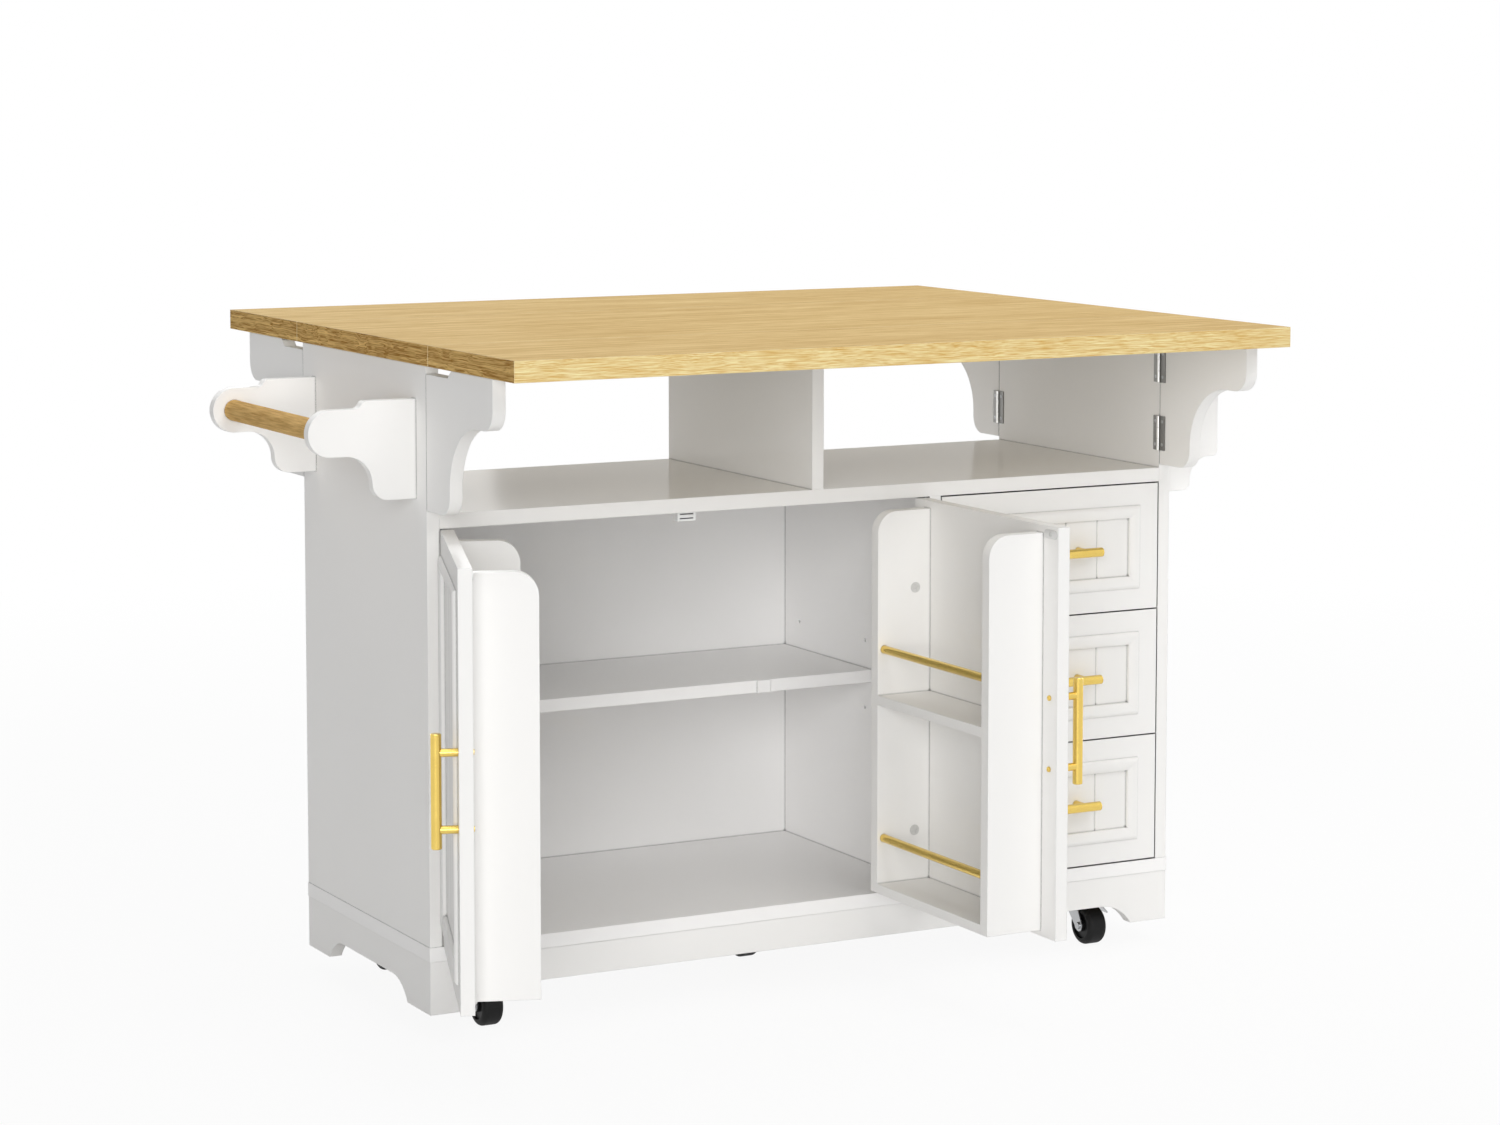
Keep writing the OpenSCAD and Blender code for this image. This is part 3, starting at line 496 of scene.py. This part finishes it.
def rubber(name, axle):
    """Black rubber, matt on the tread and a little shinier on the hub, about an axle."""
    hub_radius = 0.0195
    tyre = Finish(name, {"Specular IOR Level": 0.25})
    here = tyre.place()
    y, z = tyre.axes(here)[1:]
    hub = ((y - axle.y) ** 2.0 + (z - axle.z) ** 2.0) ** 0.5 < hub_radius
    fine = tyre.noise(here, (700.0, 700.0, 700.0), 3.0, 0.7)
    dust = tyre.noise(here, (60.0, 60.0, 60.0), 3.0)
    tread = tyre.blend(dust, tone(9, 9, 10), tone(17, 17, 17))
    return tyre.done(
        base_color=tyre.blend(hub, tread, tone(14, 14, 15)),
        roughness=0.62 - hub * 0.2 + (dust - 0.5) * 0.15,
        normal=tyre.relief(fine, 0.00005, tyre.eased(0.0008)),
    )


for name in CASTERS:
    dress(rubber(f"rubber wheel {name}", pivot(f"wheel_{name}_roll")), f"wheel_{name}")

# ---- Brackets under the leaves ----
# Four ogee brackets cut from 18 mm board and painted white, each on two nickel butt hinges
# that are screwed to the inside of the side panel and of the bracket.

# to the right is +x and to the back +y
CORNERS = {"front_left": (-1, -1), "front_right": (1, -1), "back_left": (-1, 1), "back_right": (1, 1)}
dress(white_paint, *(f"bracket_{corner}" for corner in CORNERS))
barrel_y = pivot("bracket_back_left_fold").y - MIDDLE.y
hinge_nickel = metal("nickel plated butt hinges", tone(146, 145, 142), 0.4, 420.0, barrel_y=barrel_y)
dress(hinge_nickel, "bracket_hinge_plates", *(f"bracket_flaps_{corner}" for corner in CORNERS))

butt_screw = cross_screw(0.0024, 0.00035, 0.00035)
butt_hinge_z = (0.732, 0.8311)
butt_hole_z = (0.008, 0.042)
butt_hole_y = 0.0085
butt_leaf = 0.0016
butt_face_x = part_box("side_panel_right")[0].x - MIDDLE.x - butt_leaf


def butt_screws(corner, away):
    """The screws of a bracket's two hinges: on the panel with away = -1, on the bracket with 1."""
    sx, sy = CORNERS[corner]
    return [
        facing(
            at(sx * butt_face_x, sy * (barrel_y + away * butt_hole_y), foot + rise),
            (-sx, 0, 0),
            40 * rise + away,
        )
        for foot in butt_hinge_z
        for rise in butt_hole_z
    ]


for corner in CORNERS:
    flap_spots = butt_screws(corner, 1)
    set_out(butt_screw, f"screws_flaps_{corner}", f"bracket_{corner}", zinc, flap_spots)
panel_spots = [spot for corner in CORNERS for spot in butt_screws(corner, -1)]
set_out(butt_screw, "screws_bracket_plates", "cabinet", zinc, panel_spots)

# ---- Doors ----
# Painted doors with a mitred moulding round a recessed beaded panel. Behind each hangs a rack
# of two sides and two shelves, held by cam fittings, with a brushed gold rail to each shelf.

dress(white_paint, "door_left", "door_right", "door_left_rack", "door_right_rack")
gold_tones = (tone(218, 184, 92), tone(243, 215, 124))


def gold_and_steel(name, steel_above=None):
    """Brushed gold; above a height it is bright steel, which is the strike plate of a door."""
    gold = Finish(name, {"Metallic": 1.0})
    here = gold.place()
    brushed = gold.noise(here, (1600.0, 1600.0, 160.0), 2.0, 0.6)
    cloud = gold.noise(here, (30.0, 30.0, 30.0), 2.0)
    colour = gold.blend(brushed * 0.4 + cloud * 0.4 + 0.1, *gold_tones)
    roughness = (0.22 + (brushed - 0.5) * 0.08 + (cloud - 0.5) * 0.06).held(0.05, 1.0)
    direction = gold.relief(brushed, 0.000003, gold.eased(0.0005))
    if steel_above is None:
        return gold.done(base_color=colour, roughness=roughness, normal=direction)
    steel = gold.axes(here)[2] > steel_above
    return gold.done(
        base_color=gold.blend(steel, colour, tone(222, 222, 221)),
        metallic=1.0 - steel * 0.6,
        roughness=roughness + steel * 0.1,
        normal=direction,
    )


gold = gold_and_steel("brushed gold")
over_rails = 0.62
door_metal = gold_and_steel("gold rails and steel strike plate", over_rails)
dress(door_metal, "door_left_metalwork", "door_right_metalwork")
dress(gold, "door_left_handle", "door_right_handle")

# a door's pivot pins stand this far in from its hinge edge and its outer face
pin_from_edge, pin_from_face = 0.004, 0.003


def on_door(side, along, deep, height, looks=(0, 1)):
    """A place on a door as it stands open, from its hinge edge and from its outer face."""
    hinge = JOINTS[f"door_{side}_hinge"]
    hand = hinge["axis"][2]
    spin = Matrix.Rotation(-hand * math.radians(hinge["range_deg"][1]), 3, "Z")
    point = pivot(hinge["name"]) + spin @ Vector((hand * (along - pin_from_edge), deep - pin_from_face, 0))
    point.z = height
    return facing(point, spin @ Vector((hand * looks[0], looks[1], 0)), height * 9)


cam = cross_screw(0.0073, 0.0004, 0.0007)
dull_zinc = metal("dull cast zinc", tone(226, 226, 224), 0.5, 300.0, metallic=0.25)
handle_cap = cross_screw(0.0034, 0.0003, 0.0005)
handle_holes = (-0.048, 0.048)
# the heads of the handles' and strike plates' screws stand this far out of a board's back
screw_head = 0.0018
door_thick = 0.018
head_deep = door_thick + screw_head
cam_deep = 0.042
cam_heights = (0.2206, 0.5647)
# each rack side has its cams on the face that looks into the rack
rack_sides = ((0.0435, 1), (0.318, -1))
handle_along = 0.3537
strike_along, strike_height = 0.354, 0.674
for side in ("left", "right"):
    cams = [
        on_door(side, along, cam_deep, height, (look, 0))
        for along, look in rack_sides
        for height in cam_heights
    ]
    set_out(cam, f"cams_{side}", f"door_{side}", dull_zinc, cams)
    handle_height = pivot(f"door_{side}_hinge").z
    caps = [on_door(side, handle_along, head_deep, handle_height + rise) for rise in handle_holes]
    set_out(handle_cap, f"handle_screws_{side}", f"door_{side}", gold, caps)
    strike_spot = on_door(side, strike_along, head_deep, strike_height)
    set_out(handle_cap, f"strike_screw_{side}", f"door_{side}", dull_zinc, [strike_spot])

# ---- Drawers ----
# Three fronts made as the doors are, each on a box of pale wood that runs on steel runners.
# Each front's bar handle is held by two screws from behind.

DRAWERS = ("top", "middle", "bottom")
dress(white_paint, *(f"drawer_{name}_front" for name in DRAWERS))
front_low, front_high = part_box("drawer_top_front")
drawer_x = (front_low.x + front_high.x) / 2
box_half_width = 0.17225
dress(
    pale_wood("pale wood drawer box", (120.0, 10.0, 150.0), (drawer_x, box_half_width)),
    *(f"drawer_{name}_box" for name in DRAWERS),
)
dress(zinc, "drawer_runners")
dress(gold, *(f"drawer_{name}_handle" for name in DRAWERS))

for name in DRAWERS:
    front_low, front_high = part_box(f"drawer_{name}_front")
    head_y = front_high.y + screw_head
    height = (front_low.z + front_high.z) / 2
    caps = [facing(Vector((drawer_x + dx, head_y, height)), (0, 1, 0), dx) for dx in handle_holes]
    set_out(handle_cap, f"handle_screws_{name}", f"drawer_{name}", gold, caps)

# all screws and cams are set out, so the models that they were copied from go
for model in (hinge_screw, plate_screw, butt_screw, cam, handle_cap):
    bpy.data.objects.remove(model)

# ---- Towel rack and spice rack ----
# Two painted arms hold an oak dowel on the left side. On the right, a painted spice rack of
# two shaped ends and a floor has a gold rail along its front.


def oak_dowel():
    oak = Finish("oak dowel", OAK_VARNISH)
    here = oak.place()
    fibre = oak.noise(here, (520.0, 22.0, 520.0), 3.0, 0.6)
    streak = oak.noise(here, (120.0, 5.0, 120.0), 2.0)
    depth = ((fibre - 0.5) * 1.6 + (streak - 0.5) * 0.7 + 0.5).held(0.0, 1.0)
    return oak.done(
        base_color=oak.blend(depth, tone(172, 130, 70), tone(240, 202, 134)),
        roughness=0.38 + (1 - depth) * 0.14,
        normal=oak.relief(depth, 0.0001, oak.eased(0.0008)),
    )


def paint_and_gold(rail_x, rail_z, half_span):
    """Satin white paint, and brushed gold on the rail of the spice rack."""
    # a little more than the rail's radius
    rail_reach = 0.0062
    paint = Paint("white paint and gold rail", *paint_tones, {"Specular IOR Level": 0.05})
    here = paint.place()
    x, y, z = paint.axes(here)
    rail = ((x - rail_x) ** 2.0 + (z - rail_z) ** 2.0) < rail_reach**2
    rail = rail * (abs(y - MIDDLE.y) < half_span)
    brushed = paint.noise(here, (900.0, 90.0, 900.0), 2.0, 0.6)
    return paint.done(
        base_color=paint.blend(rail, paint.colour, paint.blend(brushed, *gold_tones)),
        metallic=rail,
        roughness=0.29 + (paint.cloud - 0.5) * 0.03 + (brushed - 0.5) * 0.06,
        normal=paint.relief(paint.rolled, 0.00001, paint.round_edge),
    )


dress(white_paint, "towel_arms")
dress(oak_dowel(), "towel_bar")
spice_rail_x, spice_rail_z, spice_rail_half = MIDDLE.x + 0.68455, 0.793, 0.172
dress(paint_and_gold(spice_rail_x, spice_rail_z, spice_rail_half), "spice_rack")

# ---- Studio ----
# A white floor that keeps a soft shadow, an even white surround, large soft lamps of which the
# one from the front left is the strongest, and the camera at the photograph's angle.

bpy.ops.object.select_all(action="DESELECT")
bpy.ops.mesh.primitive_plane_add(size=60, location=(0, 0, 0))
floor = bpy.context.object
floor.name = "floor"


def seen_directly(made):
    """1 for the camera's rays, and for those that metal or glass sends on, else 0."""
    light = made.node("LightPath", {}, {}).socket.node.outputs
    seen = Reading(light["Is Camera Ray"]) + Reading(light["Is Glossy Ray"])
    return (seen + Reading(light["Is Transmission Ray"])).held(0.0, 1.0)


studio_floor = Finish(
    "studio floor",
    {"Base Color": tone(235, 235, 235), "Roughness": 0.9, "Specular IOR Level": 0.0},
)
x, y = studio_floor.axes(studio_floor.place())[:2]
# the floor shows a soft shadow near the island, and is plain white further than 4 m from it
far = (((x**2.0 + y**2.0) ** 0.5 - 2.0) * 0.5).held(0.0, 1.0)
share = seen_directly(studio_floor) * (0.92 + far * 0.08)
white = studio_floor.node("Emission", {}, {"Color": (1, 1, 1, 1), "Strength": 1.0})
lit = Reading(studio_floor.shader.outputs[0])
mixed = studio_floor.node("MixShader", {}, {0: share, 1: lit, 2: white})
studio_floor.feed(studio_floor.tree.nodes["Material Output"].inputs["Surface"], mixed)
floor.data.materials.append(studio_floor.material)

world = bpy.data.worlds.new("white surround")
bpy.context.scene.world = world
world.use_nodes = True


class Surround(Finish):
    """The world's own nodes, handled as a finish is."""

    def __init__(self, tree):
        self.tree = tree
        self.shader = tree.nodes["Background"]


surround = Surround(world.node_tree)
surround.done(color=(1, 1, 1, 1), strength=0.13 + seen_directly(surround) * 0.87)


def soft_lamp(name, place, target, size, power):
    """A square lamp of that size in metres, aimed at a target."""
    lamp = bpy.data.lights.new(name, "AREA")
    lamp.shape = "SQUARE"
    lamp.size = size
    lamp.energy = power
    holder = bpy.data.objects.new(name, lamp)
    bpy.context.collection.objects.link(holder)
    holder.location = place
    holder.rotation_euler = (Vector(target) - Vector(place)).to_track_quat("-Z", "Y").to_euler()


cabinet_heart = (0.1, 0.0, 0.45)
soft_lamp("front left lamp", (-6.5, -10.0, 2.6), cabinet_heart, 6.0, 635)
soft_lamp("high front lamp", (0.5, -9.0, 7.5), cabinet_heart, 5.0, 235)
soft_lamp("steep front lamp", (1.6, -4.2, 6.5), (0.2, -0.3, 0.45), 4.0, 60)
soft_lamp("right lamp", (5.0, 0.0, 1.6), cabinet_heart, 3.5, 112)
soft_lamp("top lamp", (0.0, 0.0, 4.5), (0.0, 0.0, 0.45), 4.0, 76)
soft_lamp("back lamp", (0.0, 5.0, 2.2), cabinet_heart, 4.0, 72)

camera = bpy.data.objects.new("camera", bpy.data.cameras.new("camera"))
bpy.context.collection.objects.link(camera)
camera.location = (-2.4490, -4.6147, 1.3175)
turn, dip = math.radians(-28.066), math.radians(5.208)
ahead = Vector((-math.sin(turn) * math.cos(dip), math.cos(turn) * math.cos(dip), -math.sin(dip)))
camera.rotation_euler = ahead.to_track_quat("-Z", "Y").to_euler()
camera.data.lens = 88.52
camera.data.sensor_width = 36
camera.data.shift_y = -0.12
bpy.context.scene.camera = camera
bpy.context.scene.view_settings.view_transform = "Standard"
